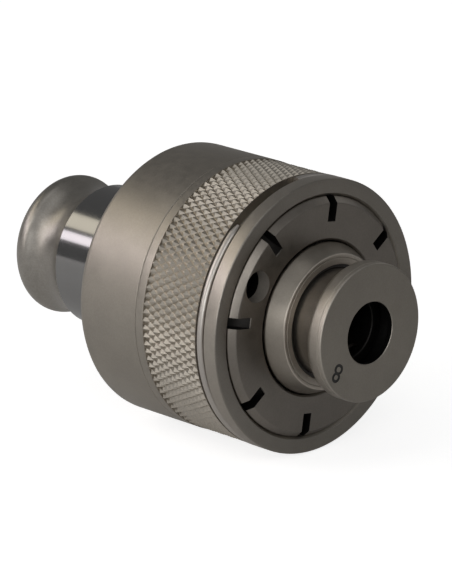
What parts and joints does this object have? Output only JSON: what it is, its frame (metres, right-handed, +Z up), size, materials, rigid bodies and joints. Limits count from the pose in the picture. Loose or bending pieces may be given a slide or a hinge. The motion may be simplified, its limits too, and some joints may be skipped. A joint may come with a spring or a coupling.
{
  "type": "tapping collet",
  "caption": "Quick-change tap holder with a ball-lock shank, knurled body, adjusting nut with slots, overload clutch and a sprung nose sleeve that grips the tap.",
  "frame": {"origin": "on the tool's axis, in the plane of the gauge face where the body seats on the chuck", "axes": "+X along the tool's axis towards the tap, +Z up, so that the lock ring's gap is at the upper front"},
  "size_m": [0.0581, 0.036, 0.036],
  "materials": {
    "housing_steel": "satin nickel, with a ground and polished shank",
    "sleeve_steel": "satin nickel over a diamond knurl",
    "nut_steel": "turned and nickel plated, darker than the body",
    "spindle_steel": "ground, nickel plated",
    "nose_steel": "turned, satin nickel",
    "wire_steel": "drawn and polished spring wire",
    "spring_steel": "phosphated spring steel",
    "hardened_steel": "hardened and ground",
    "ball_steel": "polished bearing steel",
    "screw_steel": "black oxide",
    "bronze": "plain bearing bronze"
  },
  "bodies": {
    "housing": {"shank_housing": "housing_steel", "knurled_sleeve": "sleeve_steel", "lock_ring": "wire_steel", "drive_pins": "hardened_steel", "rear_bush": "bronze", "rear_thrust_washer": "bronze", "disc_spring_1": "spring_steel", "disc_spring_2": "spring_steel", "disc_spring_3": "spring_steel", "disc_spring_4": "spring_steel"},
    "spindle": {"spindle": "spindle_steel", "hub_ring": "spindle_steel", "retaining_screw": "screw_steel", "retaining_washer": "hardened_steel", "sleeve_circlip": "spring_steel", "tap_ball_1": "ball_steel", "tap_ball_2": "ball_steel", "tap_ball_3": "ball_steel", "release_spring": "spring_steel"},
    "release_sleeve": {"release_sleeve": "nose_steel"},
    "pressure_ring": {"pressure_ring": "hardened_steel", "clutch_balls": "ball_steel"},
    "thrust_washer": {"thrust_washer": "hardened_steel"},
    "adjusting_nut": {"adjusting_nut": "nut_steel", "nut_lock_screw": "screw_steel"}
  },
  "joints": [
    {"name": "spindle_turn", "type": "hinge", "parent": "housing", "child": "spindle", "pos_m": [0, 0, 0], "axis": [1, 0, 0], "continuous": true},
    {"name": "sleeve_push", "type": "slide", "parent": "spindle", "child": "release_sleeve", "axis": [1, 0, 0], "range_m": [-0.0025, 0], "stiffness_N_per_m": 1000, "springref_m": 0.004, "deforming": ["release_spring"]},
    {"name": "clutch_lift", "type": "slide", "parent": "housing", "child": "pressure_ring", "axis": [1, 0, 0], "range_m": [-0.00063, 0], "stiffness_N_per_m": 2000, "springref_m": -0.001, "deforming": ["disc_spring_1", "disc_spring_2", "disc_spring_3", "disc_spring_4"]},
    {"name": "washer_travel", "type": "slide", "parent": "housing", "child": "thrust_washer", "axis": [1, 0, 0], "range_m": [-0.0005, 0.0005], "deforming": ["disc_spring_1", "disc_spring_2", "disc_spring_3", "disc_spring_4"]},
    {"name": "nut_turn", "type": "hinge", "parent": "thrust_washer", "child": "adjusting_nut", "pos_m": [0, 0, 0], "axis": [1, 0, 0], "range_deg": [-180, 180]}
  ],
  "couplings": [
    {"joint": "nut_turn", "follows": "washer_travel", "rad_per_m": 6283}
  ]
}
